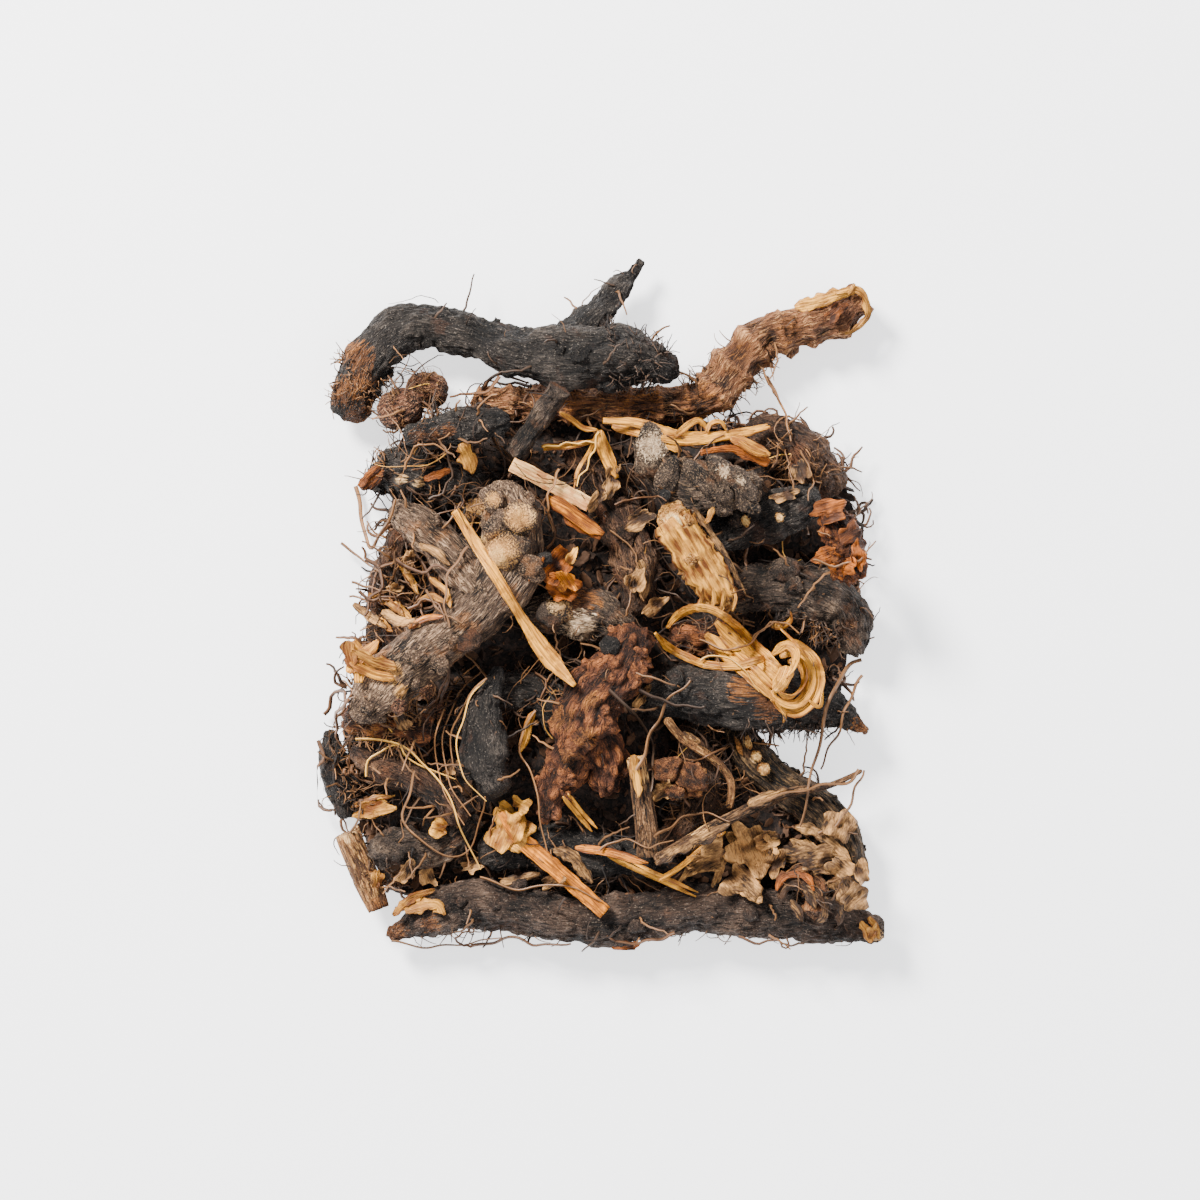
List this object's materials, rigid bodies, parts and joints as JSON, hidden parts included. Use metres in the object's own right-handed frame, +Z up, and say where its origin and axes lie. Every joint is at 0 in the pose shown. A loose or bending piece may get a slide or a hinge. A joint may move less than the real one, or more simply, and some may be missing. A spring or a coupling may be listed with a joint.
{
  "type": "nutgrass root",
  "caption": "Matted clump of dried nutgrass rhizomes with round tubers and wiry rootlets, old stems and dry leaf straw caught in it, lying on a flat underside of fine roots.",
  "frame": {"origin": "on the flat underside of the mat of fine roots, a little above and left of the middle of the clump as it is looked down on", "axes": "+X to the clump's right and +Y to its top as it is looked down on, +Z up out of the surface that it lies on"},
  "size_m": [0.1143, 0.1392, 0.0284],
  "materials": {
    "umber": "dark brown bark, dry and matt",
    "black": "charcoal bark, dry and matt",
    "russet": "red-brown bark with fine scales",
    "spotted": "dark brown bark with lengthwise grooves and pale scars",
    "ash": "grey-brown bark",
    "ringed_brown": "brown bark with rings of old scale leaves",
    "coir": "red-brown, covered in fine hairs",
    "wood": "woody stem, brown with pale wood at its cuts",
    "amber": "dry orange-brown bark or scale leaf",
    "wool": "grey-brown bark with a bloom of pale hairs",
    "grey": "grey-brown bark with pale lengthwise streaks",
    "clay": "crumbly red-brown soil and bark",
    "tan": "papery tan and cream bark",
    "straw": "dry leaf, pale straw, satin",
    "pinewood": "flat woody strip, pinkish tan",
    "dead_leaf": "crumpled brown leaf",
    "mat": "very dark brown fine roots"
  },
  "bodies": {
    "root": {"rhizome_under_left": "umber", "rhizome_under_centre": "black", "rhizome_under_middle": "umber", "rhizome_under_right": "umber", "rhizome_under_foot": "black", "rhizome_under_knot": "russet", "rhizome_bottom": "black", "rhizome_spotted": "spotted", "rhizome_pointed": "black", "rhizome_right_back": "umber", "rhizome_right_grey": "ash", "rhizome_upturned": "ringed_brown", "rhizome_arched": "black", "tuber_inner": "coir", "tuber_outer": "coir", "rhizome_left_ringed": "black", "rhizome_left_upper": "black", "rhizome_left_dark": "black", "stem_left": "wood", "rhizome_fibrous": "russet", "rhizome_lower_left": "ash", "rhizome_curved": "umber", "rhizome_bottle": "black", "rhizome_right_dark": "black", "bark_torn": "amber", "rhizome_woolly": "wool", "rhizome_cut_face": "wool", "rhizome_grey": "grey", "rhizome_russet": "russet", "lump_crumbly": "clay", "ear_curled": "ringed_brown", "husk_rolled": "tan", "stem_cut": "wood", "stem_grey": "ash", "stem_hooked": "straw", "stem_crossing": "wood", "leaf_knot_stem": "straw", "leaf_knot_strap": "straw", "leaf_knot_loop": "straw", "leaf_long": "straw", "splinter_pink": "pinewood", "bud_scale_orange": "amber", "leaf_short": "straw", "leaf_thin": "straw", "leaf_bundle": "straw", "leaf_tip_amber": "amber", "sheath_orange": "pinewood", "scale_pale": "tan", "scale_lower_a": "dead_leaf", "scale_lower_b": "dead_leaf", "scale_lower_c": "dead_leaf", "scale_lower_d": "dead_leaf", "chip_left": "tan", "chip_middle": "tan", "chip_foot": "tan", "sheath_left": "straw", "fine_root_mat": "mat"}
  },
  "joints": []
}
